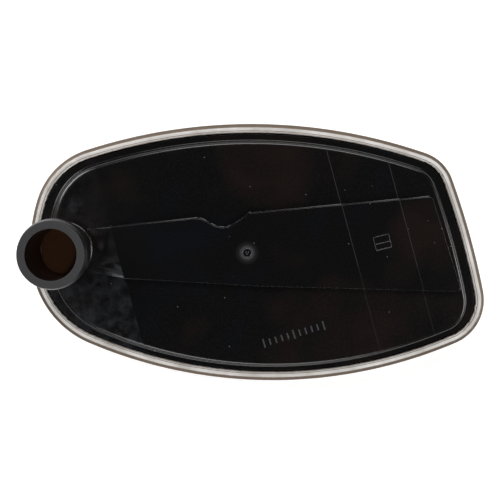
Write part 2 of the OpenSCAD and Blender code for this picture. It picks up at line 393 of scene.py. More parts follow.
marks = {
    "tickFrom": (3.3, -43.9), "tickTo": (32.2, -35.2), "ticks": 11, "tickLength": 4.4, "tickWidth": 0.75,
    "tickHeight": 0.22, "shortTick": 0.72,
    "pad": (60.3, 5.6), "padTurn": 14.0, "padSize": (7.6, 7.0),
    # each bar of the pad: place up the pad and length as shares of the pad, then width and height
    "padBars": [(-0.5, 1.0, 0.6, 0.5), (-0.08, 0.92, 0.5, 0.4), (0.42, 0.85, 0.4, 0.3)],
    "padPost": (0.9, 0.35, 0.3),  # length as a share of the pad, width and height
    "gateStud": (0.75, 0.5, 0.35), "gateStudOff": 0.62, "gateStudTurns": (20, 140, 260),
}


# generic raised marks: a row of plain ticks, a framed pad of three bars, and the mould gate
def markParts():
    parts = []
    a, b = np.array(marks["tickFrom"]), np.array(marks["tickTo"])
    turn = math.degrees(math.atan2(*(b - a)[::-1]))
    for i, t in enumerate(np.linspace(0, 1, marks["ticks"])):
        length = marks["tickLength"] * (1.0 if i % 5 == 0 else marks["shortTick"])
        x, y = a + (b - a) * t
        parts.append(raisedBar(x, y, length, marks["tickWidth"], marks["tickHeight"], turn + 90))
    x, y = marks["pad"]
    wide, deep = marks["padSize"]
    for shift, share, width, height in marks["padBars"]:
        off = towards(marks["padTurn"] + 90) * shift * deep
        parts.append(raisedBar(x + off[0], y + off[1], wide * share, width, height, marks["padTurn"]))
    share, width, height = marks["padPost"]
    for side in (-1, 1):
        off = towards(marks["padTurn"]) * side * wide / 2
        parts.append(raisedBar(x + off[0], y + off[1], deep * share, width, height, marks["padTurn"] + 90))
    gateX, gateY = cover["gate"]
    level = cover["channelTop"]
    outer = cover["gateRadius"]
    ring = [(outer - 0.5, level - 0.2), (outer, level - 0.2), (outer, level + 0.12),
            (outer - 0.2, level + 0.28), (outer - 0.5, level + 0.12)]
    parts.append(turned(ring, gateX, gateY, 48))
    for turn in marks["gateStudTurns"]:
        spot = np.array([gateX, gateY]) + marks["gateStudOff"] * towards(turn)
        parts.append(raisedBar(spot[0], spot[1], *marks["gateStud"], turn + 60))
    return parts


# frost is 1 on the raised marks and a little less on the witness lines; on the facet beside the neck the same
# pale grey is painted sheen, for the light that facet catches
def frostAndSheenOnTop(xy):
    inset, facing = insetOf(xy)
    onLid = inset - lidInset(facing) > lidWall[-1][0]
    values = np.zeros(len(xy))
    for x in cover["witnessX"]:
        onLine = abs(xy[:, 0] - x + xy[:, 1] * leanTan) < 0.02
        values = np.maximum(values, onLine * onLid * np.where(xy[:, 1] > -6, 0.8, 0.35))
    _, rise = lidAndRise(xy)
    ramp = fromChannelFoot(xy) * tangent(channel["facetSlope"])
    onFacet = (alongLean(xy) < -0.1) & (xy[:, 1] < -6) & insideLine(xy, channelPlan)
    return np.maximum(values, 0.9 * (onFacet & (rise > 0) & (ramp < rise + 0.1)))


def buildCover():
    points, facing = outlineSamples(1.2)
    inner, spread = lidInset(facing), wallSpread(facing)
    rimInset = 1.3
    gapFrom, gapTo = cover["lipGapFrom"], cover["lipGapTo"]
    # extra lines close beside the gap keep the flats shaded flat
    loops = [ringAt(points, facing, np.full(len(points), d))
             for d in (rimInset, gapFrom - 0.1, gapFrom, gapTo, gapTo + 0.1, gapTo + 0.6)]
    loops += [ringAt(points, facing, inner + w[0] * spread) for w in lidWall]
    loops.append(ringAt(points, facing, inner + (lidWall[-1][0] + 0.5) * spread))
    for distance in [-0.5] + [e[0] for e in channelEdge] + [1.0, 1.8, 2.8, 4.0, 5.6]:
        loops.append(sideways(channelPlan, distance * edgeSpread(channelPlan)))
    for step in range(8):
        loops.append(circleAt(neckX, neckY, cover["tubeRadius"] + cover["tubeFillet"] * (step / 6) ** 1.5))
    lines = [leaningLine(cover["creaseX"] + d, -62, 62) for d in (-0.4, 0, 0.4)]
    meet = (cover["channelTop"] - cover["lidTop"]) / (tangent(cover["channelFall"]) - tangent(cover["fall"]))
    lines.append(leaningLine(cover["creaseX"] - meet / math.cos(math.radians(cover["lean"])), -20, 20, 20))
    for x in cover["witnessX"]:
        lines += [leaningLine(x + d * cover["witnessWidth"], -58, 58, 90) for d in (-1, 0, 1)]
    grid = squareGrid(3.0)
    inset, gridFacing = insetOf(grid)
    clear = (inset - lidInset(gridFacing) > 4) & (distanceToLine(grid, channelPlan) > 3.2)
    clear &= (fromAxis(grid, neckX, neckY) > cover["tubeRadius"] + 3) & (abs(alongLean(grid)) > 1)

    def keep(xy):
        depth, _ = insetOf(xy)
        return (depth > rimInset) & (fromAxis(xy, neckX, neckY) > cover["tubeRadius"] - 0.02)

    xy, faces = planTriangles(loops, lines, grid[clear], keep)
    top = coverHeight(xy)
    under = np.maximum(flangeFoot, top - cover["shell"])
    foot, bore, seat = flangeFoot, cover["boreRadius"], cover["tubeTop"]
    tube = [(cover["tubeRadius"], foot), (cover["tubeRadius"], seat), (bore, seat),
            (bore, foot + cover["bellHeight"]), (bore + cover["bellHeight"] * cover["bellSlope"], foot)]
    parts = [closedSheet(xy, faces, top, under), turned(rounded(tube, 0.25, 3, closed=True), neckX, neckY)]
    sheetCount = 2 * len(xy)
    parts += markParts()
    vertices, faces = joinParts(parts)
    piece = meshObject("moulded_cover", vertices, faces)
    frostAndSheen = piece.data.attributes.new("frostAndSheen", "FLOAT", "POINT")
    values = np.ones(len(vertices))
    values[:sheetCount + len(parts[1][0])] = 0
    values[:len(xy)] = frostAndSheenOnTop(xy)
    frostAndSheen.data.foreach_set("value", values.astype(np.float32))
    normals = piece.modifiers.new("even_flats", "WEIGHTED_NORMAL")
    normals.weight = 80
    return piece


coverPiece = buildCover()
print("stage: cover", len(coverPiece.data.polygons))


pan = {
    "sheet": 0.8, "hem": 4.4, "wallFoot": 9.0, "wallHead": 6.2, "bend": 1.35,
    "rippleHeight": 0.1, "edgeWander": 0.05,
    "inletHole": 15.0, "flangeGap": 1,  # the gap holds the gasket and the edges of the felts
    # distance from the middle of the pressing, and rise
    "dish": [(20.9, 0), (20.6, 0.12), (20.1, 1.0), (19.8, 1.2)],
    "bead": [(3.6, 0), (3.3, 0.1), (2.6, 0.6), (2.3, 0.7)],
    "beadX": -28, "beadRows": (-24, 0, 24), "beadHalf": 23,
}


def panProfile():
    z = flangeFoot - pan["flangeGap"] - pan["sheet"]
    # a groove beside the sheared edge leaves a thin raised lip
    hem = pan["hem"]
    groove = rimTop - 0.22
    hemCorner = [(hem - 1.0, rimTop), (hem - 0.8, groove), (hem - 0.55, groove), (hem - 0.08, rimTop),
                 (hem, rimTop - 0.3), (hem, rimTop - 0.6)]
    corners = [(pan["wallFoot"] + 3.5, 0), (pan["wallFoot"], 0), (pan["wallHead"], z), (0, z),
               (0, rimTop - 1.6), (0.5, rimTop - 0.75), (2.0, rimTop)]
    bend = pan["bend"]
    soft = [bend, bend, 1.2, 1.3, 0.9, 0.8, 1.6] + [0.15] * 3 + [0.1] * 3
    return rounded(corners + hemCorner, soft, 6)


# the small waves that folding leaves in the hem
def crinkle(length, strength):
    waves = [(2.3, 0.7, 0.4), (3.7, 1.0, 1.9), (6.1, 0.8, 4.2), (11.3, 0.5, 2.2)]  # pitch, size, start
    return strength * sum(size * np.sin(2 * math.pi * length / pitch + start) for pitch, size, start in waves)


def slotLine(x, y, half, radius):
    right = np.array([x + half, y]) + radius * towards(np.linspace(-90, 90, 15)).T
    left = np.array([x - half, y]) + radius * towards(np.linspace(90, 270, 15)).T
    return np.concatenate([right, left])


def fromBead(xy, y):
    return np.hypot(np.maximum(0, abs(xy[:, 0] - pan["beadX"]) - pan["beadHalf"]), xy[:, 1] - y)


# the rise of a pressing at each distance from its middle, from a list of (distance, rise)
def pressedRise(distance, profile):
    return np.interp(-distance, [-d for d, _ in profile], [z for _, z in profile])


def buildPan():
    points, facing = outlineSamples(0.7)
    steps = np.linalg.norm(np.roll(points, -1, 0) - points, axis=1)
    length = np.concatenate([[0], np.cumsum(steps)[:-1]])
    turning = np.abs(np.roll(facing, -1) - facing) % 360 / steps
    tight = np.clip((turning - 0.5) / 1.6, 0, 1)
    tight = np.convolve(np.concatenate([tight[-12:], tight, tight[:12]]), np.ones(25) / 25, "valid")
    rows = []
    profile = panProfile()
    for inset, height in profile[::-1]:
        onHem = np.clip((inset - 1.2) / (pan["hem"] - 1.2), 0, 1) if height > rimTop - 0.5 else 0
        ripple = np.abs(crinkle(length, pan["rippleHeight"])) * (0.25 + 1.6 * tight) * onHem
        edge = crinkle(length + 5, pan["edgeWander"]) * onHem * (0.35 + tight)
        ring = ringAt(points, facing, np.full(len(points), inset) + edge)
        rows.append(np.column_stack([ring, np.full(len(points), height) - ripple]))
    shell = skinRows(rows)
    loops = [rows[-1][:, :2]] + [circleAt(inletX, inletY, r, 128) for r, _ in pan["dish"]]
    loops.append(circleAt(inletX, inletY, pan["inletHole"], 128))
    for y in pan["beadRows"]:
        loops += [slotLine(pan["beadX"], y, pan["beadHalf"], r) for r, _ in pan["bead"]]
    grid = squareGrid(5.0)
    clear = insetOf(grid)[0] > profile[0][0] + 2
    for y in pan["beadRows"]:
        clear &= fromBead(grid, y) > pan["bead"][0][0] + 1
    clear &= fromAxis(grid, inletX, inletY) > pan["dish"][0][0] + 1.6

    def keep(xy):
        return (insetOf(xy)[0] > profile[0][0] - 0.01) & (fromAxis(xy, inletX, inletY) > pan["inletHole"])

    xy, faces = planTriangles(loops, [], grid[clear], keep)
    height = pressedRise(fromAxis(xy, inletX, inletY), pan["dish"])
    for y in pan["beadRows"]:
        rise = pressedRise(fromBead(xy, y), pan["bead"])
        height = np.maximum(height, rise)
    floor = (np.column_stack([xy, height]), faces.tolist())
    piece = meshObject("pressed_pan", *joinParts([shell, floor]), shut=False)
    weld = piece.modifiers.new("weld", "WELD")
    weld.merge_threshold = 0.02 * mm
    thick = piece.modifiers.new("sheet", "SOLIDIFY")
    thick.thickness = pan["sheet"] * mm
    thick.offset = 1
    return piece


panPiece = buildPan()
print("stage: pan", len(panPiece.data.polygons))

seal = {
    "bore": 11.8, "face": 15.5, "head": 16.3, "body": 14.6, "tube": 13.02,
    "seatDrop": 10.0, "headTopDrop": 3.6, "headFootDrop": 8.0,
}


def buildSeal():
    top, headTop, headFoot = sealTop, sealTop - seal["headTopDrop"], sealTop - seal["headFootDrop"]
    seat = sealTop - seal["seatDrop"]
    bore, face, head, body, tube = (seal[k] for k in ("bore", "face", "head", "body", "tube"))
    corners = [(bore, seat), (bore, top), (face, top), (face + 0.25, top - 1.3), (face + 0.1, top - 1.7),
               (head - 0.25, headTop + 0.9), (head, headTop), (head, headFoot), (body, headFoot - 1.5),
               (body, sealFoot), (tube, sealFoot), (tube, seat)]
    soft = [0.1, 0.16, 0.3, 0.12, 0.12, 0.3, 0.5, 0.5, 0.6, 0.5, 0.1, 0.1]
    return meshObject("rubber_neck_seal", *turned(rounded(corners, soft, 5, closed=True), neckX, neckY, 180))


sealPiece = buildSeal()
print("stage: neck seal")

felt = {"edgeInset": 5.0, "fineSwell": (7.2, 9.5), "coarseSwell": (7.6, 10.5), "unevenness": 0.12}


# needling leaves the face of a felt gently uneven
def feltWaves(xy, start):
    waves = [(31, 0.9, 0.3), (17, 0.3, 1.1), (23, -0.8, 2.0), (11, 0.6, 0.7)]
    total = sum(np.sin(2 * math.pi * (xy[:, 0] + xy[:, 1] * tilt) / pitch + start + shift)
                for pitch, tilt, shift in waves)
    return (total / len(waves) + 1) / 2 * felt["unevenness"]


def buildFelts():
    points, facing = outlineSamples(1.5)
    insets = sorted({felt["edgeInset"], *felt["fineSwell"], *felt["coarseSwell"], 6.4, 8.5, 13.0})
    loops = [ringAt(points, facing, np.full(len(points), d)) for d in insets]
    grid = squareGrid(3.0)
    grid = grid[insetOf(grid)[0] > insets[-1] + 1.5]
    xy, faces = planTriangles(loops, [], grid, lambda p: insetOf(p)[0] > felt["edgeInset"])
    inset, _ = insetOf(xy)
    inside = np.clip((inset - felt["fineSwell"][0]) / 3, 0, 1)
    top, fineFoot = feltBox[1].z / mm, feltBox[0].z / mm
    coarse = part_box("coarse_felt")
    fineUnder = np.interp(inset, felt["fineSwell"], [coarse[1].z / mm, fineFoot])
    coarseUnder = np.interp(inset, felt["coarseSwell"], [coarse[1].z / mm - 0.5, coarse[0].z / mm])
    fineTop = top - feltWaves(xy, 0.0) * inside
    fine = meshObject("fine_felt_sheet", *closedSheet(xy, faces, fineTop, fineUnder))
    under = coarseUnder + feltWaves(xy, 2.0) * inside
    coarsePiece = meshObject("coarse_felt_sheet", *closedSheet(xy, faces, fineUnder - 0.01, under))
    corner = ringAt(points, facing, np.full(len(points), felt["edgeInset"]))
    after = np.roll(corner, -1, 0)
    area = abs((corner[:, 0] * after[:, 1] - corner[:, 1] * after[:, 0]).sum()) / 2 * mm * mm
    size = [(corner[:, i].max() - corner[:, i].min()) * mm for i in (1, 0)]
    return fine, coarsePiece, size, area


fineFeltPiece, coarseFeltPiece, feltSize, feltArea = buildFelts()
print("stage: felts", [round(s, 4) for s in feltSize], round(feltArea, 5))

inlet = {"collarBore": 14.3, "collarOuter": 15.0, "collarFlange": 19.0, "collarFoot": 0.5, "collarTop": 5.0,
         "backing": 18.0, "backingSheet": 0.6,
         "wirePitch": 1.3, "wireRadius": 0.16, "wireWave": 0.13, "screenRim": 13.6, "rimHalf": 0.3}


def buildInlet():
    foot, top = inlet["collarFoot"], inlet["collarTop"]
    shoulder = foot + inlet["collarOuter"] - inlet["collarBore"]
    profile = [(inlet["collarBore"], foot), (inlet["collarFlange"], foot), (inlet["collarFlange"], shoulder),
               (inlet["collarOuter"], shoulder), (inlet["collarOuter"], top), (inlet["collarBore"], top)]
    soft = [0.65, 0.3, 0.3, 0.1, 0.25, 0.25]
    profile = rounded(profile, soft, 6, closed=True)
    collar = meshObject("pressed_inlet_collar", *turned(profile, inletX, inletY))
    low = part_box("collar_backing_ring")[0].z / mm
    high = low + inlet["backingSheet"]
    washer = [(inlet["collarOuter"], low), (inlet["backing"], low), (inlet["backing"], high),
              (inlet["collarOuter"], high)]
    ring = meshObject("pressed_backing_ring", *turned(rounded(washer, 0.2, 4, closed=True), inletX, inletY))
    return collar, ring


# plain weave: each wire passes over and under its neighbours by turns
def buildScreen():
    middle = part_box("inlet_screen")[0].z / mm + inlet["rimHalf"]
    reach = inlet["screenRim"] + 0.4
    pitch, sides = inlet["wirePitch"], 6
    count = int(reach / pitch)
    around = np.linspace(0, 2 * math.pi, sides, endpoint=False)
    parts = []
    for crosswise in (False, True):
        for i in range(-count, count + 1):
            half = math.sqrt(reach ** 2 - (i * pitch) ** 2)
            along = np.linspace(-half, half, max(8, round(half * 2 / pitch * 5)))
            sign = 1 if (i + crosswise) % 2 else -1
            rise = middle + sign * inlet["wireWave"] * np.cos(math.pi * along / pitch)
            rows = []
            for s, z in zip(along, rise):
                off = i * pitch + inlet["wireRadius"] * np.cos(around)
                heights = z + inlet["wireRadius"] * np.sin(around)
                run = np.full(sides, s)
                x, y = (off[::-1], run) if crosswise else (run, off)
                heights = heights[::-1] if crosswise else heights
                rows.append(np.stack([inletX + x, inletY + y, heights], 1))
            parts.append(skinRows(rows, caps=True))
    low = middle - inlet["rimHalf"]
    high = low + 2 * inlet["rimHalf"]
    rim = [(inlet["screenRim"], low), (inlet["collarOuter"], low), (inlet["collarOuter"], high),
           (inlet["screenRim"], high)]
    parts.append(turned(rounded(rim, 0.15, 3, closed=True), inletX, inletY, 96))
    return meshObject("woven_inlet_screen", *joinParts(parts))


collarPiece, backingPiece = buildInlet()
screenPiece = buildScreen()
print("stage: inlet", len(screenPiece.data.polygons))


def linear(hexColour):
    parts = [int(hexColour[i:i + 2], 16) / 255 for i in (1, 3, 5)]
    return tuple(c / 12.92 if c <= 0.04045 else ((c + 0.055) / 1.055) ** 2.4 for c in parts) + (1.0,)


# adds one node; inputs are socket values, or (node, output) pairs to link; stops fill a colour ramp
def addNode(material, kind, inputs=None, stops=None, **settings):
    tree = material.node_tree
    node = tree.nodes.new(kind)
    for key, value in settings.items():
        setattr(node, key, value)
    if stops:
        elements = node.color_ramp.elements
        while len(elements) < len(stops):
            elements.new(0.5)
        for element, (place, colour) in zip(elements, stops):
            element.position = place
            element.color = colour if isinstance(colour, tuple) else (colour, colour, colour, 1.0)
    for socket, value in (inputs or {}).items():
        if isinstance(value, tuple) and len(value) == 2 and isinstance(value[0], bpy.types.Node):
            tree.links.new(value[0].outputs[value[1]], node.inputs[socket])
        else:
            node.inputs[socket].default_value = value
    return node


def newMaterial(name):
    material = bpy.data.materials.new(name)
    material.use_nodes = True
    material.node_tree.nodes.clear()
    return material


def finishMaterial(material, shader):
    addNode(material, "ShaderNodeOutputMaterial", {"Surface": (shader, 0)})
    return material


def perMm(size):
    return 1 / (size * mm)


def glassFilledNylon():
    # moulded glass-filled nylon: near black and faintly cloudy, warm in some places and cool in others,
    # scuffed where the lid slopes to the neck, with painted grey sheen there for the light that slope
    # catches, and a pale blush round the mould gate
    look = {"base": "#060606", "warm": "#150d0c", "cool": "#07080e", "sheenAndScuff": "#232427", "frostAndSheen": "#3c3d40",
            "blush": "#48484a", "dust": "#77787a",
            "sheenSpotAt": (-88.5, 22.0, 20.5), "cloudMm": 42, "scuffMm": 7, "scratchMm": 1.2, "fibreMm": 0.8,
            "dustMm": 8.0, "roughness": 0.21, "gateMm": 6.0}
    m = newMaterial("moulded_glass_filled_nylon")
    place = addNode(m, "ShaderNodeTexCoord")
    cloud = addNode(m, "ShaderNodeTexNoise", {
        "Vector": (place, "Object"), "Scale": perMm(look["cloudMm"]),
        "Detail": 2.5, "Roughness": 0.5})
    tint = addNode(m, "ShaderNodeValToRGB", {"Fac": (cloud, "Fac")}, stops=[
        (0.34, linear(look["cool"])), (0.46, linear(look["base"])), (0.52, linear(look["base"])),
        (0.7, linear(look["warm"]))])
    # the sloping part of the lid lies on the neck's side of the leaning crease
    lean = addNode(m, "ShaderNodeVectorMath", {0: (place, "Object"), 1: (1.0, leanTan, 0.0)},
                   operation="DOT_PRODUCT")
    slope = addNode(m, "ShaderNodeMapRange", {
        "Value": (lean, "Value"), "From Min": (cover["creaseX"] + 0.2) * mm,
        "From Max": (cover["creaseX"] - 0.2) * mm})
    split = addNode(m, "ShaderNodeSeparateXYZ", {"Vector": (place, "Object")})
    # painted sheen: on the slope it is weaker above and stronger towards the lower side
    lower = addNode(m, "ShaderNodeMapRange", {
        "Value": (split, "Y"), "From Min": -7.0 * mm,
        "From Max": -16.0 * mm, "To Min": 0.25})
    scuff = addNode(m, "ShaderNodeTexNoise", {
        "Vector": (place, "Object"), "Scale": perMm(look["scuffMm"]),
        "Detail": 6.0, "Roughness": 0.65})
    scuffed = addNode(m, "ShaderNodeMapRange", {"Value": (scuff, "Fac"), "From Min": 0.4, "From Max": 0.66})
    # the painted sheen also gathers round a spot near the neck, on its upper side
    fromSheenSpot = addNode(m, "ShaderNodeVectorMath", {0: (place, "Object"), 1: tuple(v * mm for v in look["sheenSpotAt"])},
                  operation="DISTANCE")
    sheenNearSpot = addNode(m, "ShaderNodeMapRange", {
        "Value": (fromSheenSpot, "Value"), "From Min": 7.5 * mm,
        "From Max": 2.0 * mm, "To Max": 1.4})
    paintedLight = addNode(m, "ShaderNodeMath", {0: (lower, "Result"), 1: (sheenNearSpot, "Result")}, operation="MAXIMUM")
    sheenZone = addNode(m, "ShaderNodeMath", {0: (slope, "Result"), 1: (paintedLight, "Value")}, operation="MULTIPLY")
    sheenAndScuff = addNode(m, "ShaderNodeMath", {0: (sheenZone, "Value"), 1: (scuffed, "Result")}, operation="MULTIPLY")
    # the painted sheen is a lighter grey, broken up by the scuff noise
    sheenedColour = addNode(m, "ShaderNodeMixRGB", {
        "Fac": (sheenAndScuff, "Value"), "Color1": (tint, "Color"),
        "Color2": linear(look["sheenAndScuff"])})
    gate = addNode(m, "ShaderNodeVectorMath", {
        0: (place, "Object"), 1: (cover["gate"][0] * mm, cover["gate"][1] * mm, cover["channelTop"] * mm)},
        operation="DISTANCE")
    reach = addNode(m, "ShaderNodeMath", {0: (gate, "Value"), 1: look["gateMm"] * mm}, operation="DIVIDE")
    blush = addNode(m, "ShaderNodeValToRGB", {"Fac": (reach, "Value")}, stops=[
        (0.39, 0.0), (0.44, 0.9), (0.53, 0.42), (0.68, 0.13), (1.0, 0.0)])
    blushed = addNode(m, "ShaderNodeMixRGB", {
        "Fac": (blush, "Color"), "Color1": (sheenedColour, "Color"),
        "Color2": linear(look["blush"])})
    # the pale grey is frost on the marks and painted sheen on the facet
    marked = addNode(m, "ShaderNodeAttribute", attribute_name="frostAndSheen")
    frostAndSheenMix = addNode(m, "ShaderNodeMixRGB", {
        "Fac": (marked, "Fac"), "Color1": (blushed, "Color"),
        "Color2": linear(look["frostAndSheen"])})
    cells = addNode(m, "ShaderNodeTexVoronoi", {"Vector": (place, "Object"), "Scale": perMm(look["dustMm"])})
    speck = addNode(m, "ShaderNodeMapRange", {
        "Value": (cells, "Distance"), "From Min": 0.035,
        "From Max": 0.02, "To Max": 0.8})
    colour = addNode(m, "ShaderNodeMixRGB", {
        "Fac": (speck, "Result"), "Color1": (frostAndSheenMix, "Color"),
        "Color2": linear(look["dust"])})
    fibre = addNode(m, "ShaderNodeTexNoise", {
        "Vector": (place, "Object"), "Scale": perMm(look["fibreMm"]),
        "Detail": 4.0, "Roughness": 0.6})
    rough = addNode(m, "ShaderNodeValToRGB", {"Fac": (fibre, "Fac")}, stops=[
        (0.3, look["roughness"] - 0.05), (0.7, look["roughness"] + 0.07)])
    scratch = addNode(m, "ShaderNodeTexNoise", {
        "Vector": (place, "Object"), "Scale": perMm(look["scratchMm"]), "Detail": 5.0, "Distortion": 2.0})
    deep = addNode(m, "ShaderNodeMath", {0: (scratch, "Fac"), 1: (sheenAndScuff, "Value")}, operation="MULTIPLY")
    relief = addNode(m, "ShaderNodeMath", {0: (deep, "Value"), 1: (fibre, "Fac")}, operation="ADD")
    bump = addNode(m, "ShaderNodeBump", {
        "Height": (relief, "Value"), "Strength": 0.12,
        "Distance": 0.04 * mm})
    shader = addNode(m, "ShaderNodeBsdfPrincipled", {
        "Base Color": (colour, "Color"), "Roughness": (rough, "Color"), "IOR": 1.53,
        "Normal": (bump, "Normal")})
    return finishMaterial(m, shader)


def tinPlatedSteel():
    # tin-plated pressed steel: warm light grey satin; folding leaves the hem gently uneven,
    # and the parts round the outer bend that face sideways get a painted darker brownish shade
    look = {"light": "#e8e5e2", "shade": "#cdc9c4", "paintedLight": "#786b60", "grainMm": 0.6, "foldMm": 3.2,
            "blotchMm": 12, "roughness": 0.6}
    m = newMaterial("tin_plated_pressed_steel")
    place = addNode(m, "ShaderNodeTexCoord")
    grain = addNode(m, "ShaderNodeTexNoise", {
        "Vector": (place, "Object"), "Scale": perMm(look["grainMm"]),
        "Detail": 5.0, "Roughness": 0.6})
    blotch = addNode(m, "ShaderNodeTexNoise", {
        "Vector": (place, "Object"), "Scale": perMm(look["blotchMm"]),
        "Detail": 3.0})
    plate = addNode(m, "ShaderNodeValToRGB", {"Fac": (blotch, "Fac")}, stops=[
        (0.35, linear(look["shade"])), (0.65, linear(look["light"]))])
    # at the rim's height the outer bend, the groove and the lip are what looks sideways; these are painted a
    # darker brownish grey as shade
    shape = addNode(m, "ShaderNodeNewGeometry")
    up = addNode(m, "ShaderNodeSeparateXYZ", {"Vector": (shape, "Normal")})
    spot = addNode(m, "ShaderNodeSeparateXYZ", {"Vector": (place, "Object")})
    high = addNode(m, "ShaderNodeMapRange", {
        "Value": (spot, "Z"), "From Min": (rimTop - 2.4) * mm,
        "From Max": (rimTop - 1.4) * mm})
    sideOn = addNode(m, "ShaderNodeMapRange", {"Value": (up, "Z"), "From Min": 0.994, "From Max": 0.9})
    bend = addNode(m, "ShaderNodeMath", {0: (high, "Result"), 1: (sideOn, "Result")}, operation="MULTIPLY")
    colour = addNode(m, "ShaderNodeMixRGB", {
        "Fac": (bend, "Value"), "Color1": (plate, "Color"),
        "Color2": linear(look["paintedLight"])})
    rough = addNode(m, "ShaderNodeValToRGB", {"Fac": (grain, "Fac")}, stops=[
        (0.3, look["roughness"] - 0.08), (0.7, look["roughness"] + 0.1)])
    fold = addNode(m, "ShaderNodeTexNoise", {
        "Vector": (place, "Object"), "Scale": perMm(look["foldMm"]),
        "Detail": 2.0})
    relief = addNode(m, "ShaderNodeMath", {0: (fold, "Fac"), 1: 4.0, 2: (grain, "Fac")},
                     operation="MULTIPLY_ADD")
    bump = addNode(m, "ShaderNodeBump", {"Height": (relief, "Value"), "Strength": 0.5, "Distance": 0.13 * mm})
    shader = addNode(m, "ShaderNodeBsdfPrincipled", {
        "Base Color": (colour, "Color"), "Metallic": 1.0, "Roughness": (rough, "Color"),
        "Normal": (bump, "Normal")})
    return finishMaterial(m, shader)


def nitrileRubber():
    # moulded nitrile rubber: the face is worn matt grey with pale dust in its pores, the sides stay
    # smooth and nearly black, and the bore is painted dark brown as the shade deep inside the neck
    look = {"dark": "#1a1a1c", "light": "#29292b", "dust": "#4e4e50", "side": "#101011", "paintedBoreShade": "#0d0908",
            "grainMm": 0.5, "matt": 0.6, "smooth": 0.34}
    m = newMaterial("moulded_nitrile_rubber")
    place = addNode(m, "ShaderNodeTexCoord")
    grain = addNode(m, "ShaderNodeTexNoise", {
        "Vector": (place, "Object"), "Scale": perMm(look["grainMm"]),
        "Detail": 4.0, "Roughness": 0.65})
    face = addNode(m, "ShaderNodeValToRGB", {"Fac": (grain, "Fac")}, stops=[
        (0.3, linear(look["dark"])), (0.62, linear(look["light"])), (0.75, linear(look["dust"]))])
    shape = addNode(m, "ShaderNodeNewGeometry")
    up = addNode(m, "ShaderNodeSeparateXYZ", {"Vector": (shape, "Normal")})
    sideOn = addNode(m, "ShaderNodeMapRange", {"Value": (up, "Z"), "From Min": 0.96, "From Max": 0.8})
    sided = addNode(m, "ShaderNodeMixRGB", {
        "Fac": (sideOn, "Result"), "Color1": (face, "Color"),
        "Color2": linear(look["side"])})
    flat = addNode(m, "ShaderNodeVectorMath", {0: (place, "Object"), 1: (1.0, 1.0, 0.0)},
                   operation="MULTIPLY")
    off = addNode(m, "ShaderNodeVectorMath", {0: (flat, "Vector"), 1: (neckX * mm, neckY * mm, 0.0)},
                  operation="DISTANCE")
    # painted shade: the wall of the bore is darkened
    bore = addNode(m, "ShaderNodeMapRange", {
        "Value": (off, "Value"), "From Min": (seal["bore"] + 0.12) * mm,
        "From Max": (seal["bore"] + 0.04) * mm})
    colour = addNode(m, "ShaderNodeMixRGB", {
        "Fac": (bore, "Result"), "Color1": (sided, "Color"),
        "Color2": linear(look["paintedBoreShade"])})
    rough = addNode(m, "ShaderNodeMapRange", {
        "Value": (sideOn, "Result"), "To Min": look["matt"],
        "To Max": look["smooth"]})
    bump = addNode(m, "ShaderNodeBump", {"Height": (grain, "Fac"), "Strength": 0.3, "Distance": 0.08 * mm})
    shader = addNode(m, "ShaderNodeBsdfPrincipled", {
        "Base Color": (colour, "Color"), "Roughness": (rough, "Result"), "IOR": 1.52,
        "Normal": (bump, "Normal")})
    return finishMaterial(m, shader)


def needledFelt(name, dark, light):
    # needled polyester felt: matt and fuzzy, with short fibres lying every way
    # the fibres are drawn 0.5 mm apart, far coarser than real ones, so that they show
    look = {"fibreMm": 0.5, "roughness": 0.95, "sheen": 0.3}
    m = newMaterial(name)
    place = addNode(m, "ShaderNodeTexCoord")
    fibre = addNode(m, "ShaderNodeTexNoise", {
        "Vector": (place, "Object"), "Scale": perMm(look["fibreMm"]),
        "Detail": 6.0, "Roughness": 0.7, "Distortion": 1.5})
    colour = addNode(m, "ShaderNodeValToRGB", {"Fac": (fibre, "Fac")}, stops=[
        (0.3, linear(dark)), (0.7, linear(light))])
    bump = addNode(m, "ShaderNodeBump", {"Height": (fibre, "Fac"), "Strength": 0.8, "Distance": 0.4 * mm})
    shader = addNode(m, "ShaderNodeBsdfPrincipled", {
        "Base Color": (colour, "Color"), "Roughness": look["roughness"], "Sheen Weight": look["sheen"],
        "Normal": (bump, "Normal")})
    return finishMaterial(m, shader)


def naturalPolypropylene():
    # moulded natural polypropylene: milky and waxy, with faint clouds from the flow in the mould
    look = {"light": "#e9e6dc", "shade": "#d8d3c4", "flowMm": 9, "grainMm": 0.6, "roughness": 0.45}
    m = newMaterial("moulded_natural_polypropylene")
    place = addNode(m, "ShaderNodeTexCoord")
    flow = addNode(m, "ShaderNodeTexNoise", {
        "Vector": (place, "Object"), "Scale": perMm(look["flowMm"]),
        "Detail": 3.0, "Distortion": 1.0})
    colour = addNode(m, "ShaderNodeValToRGB", {"Fac": (flow, "Fac")}, stops=[
        (0.35, linear(look["shade"])), (0.65, linear(look["light"]))])
    grain = addNode(m, "ShaderNodeTexNoise", {"Vector": (place, "Object"), "Scale": perMm(look["grainMm"])})
    bump = addNode(m, "ShaderNodeBump", {"Height": (grain, "Fac"), "Strength": 0.15, "Distance": 0.05 * mm})
    shader = addNode(m, "ShaderNodeBsdfPrincipled", {
        "Base Color": (colour, "Color"), "Roughness": look["roughness"], "IOR": 1.49,
        "Normal": (bump, "Normal")})
    return finishMaterial(m, shader)


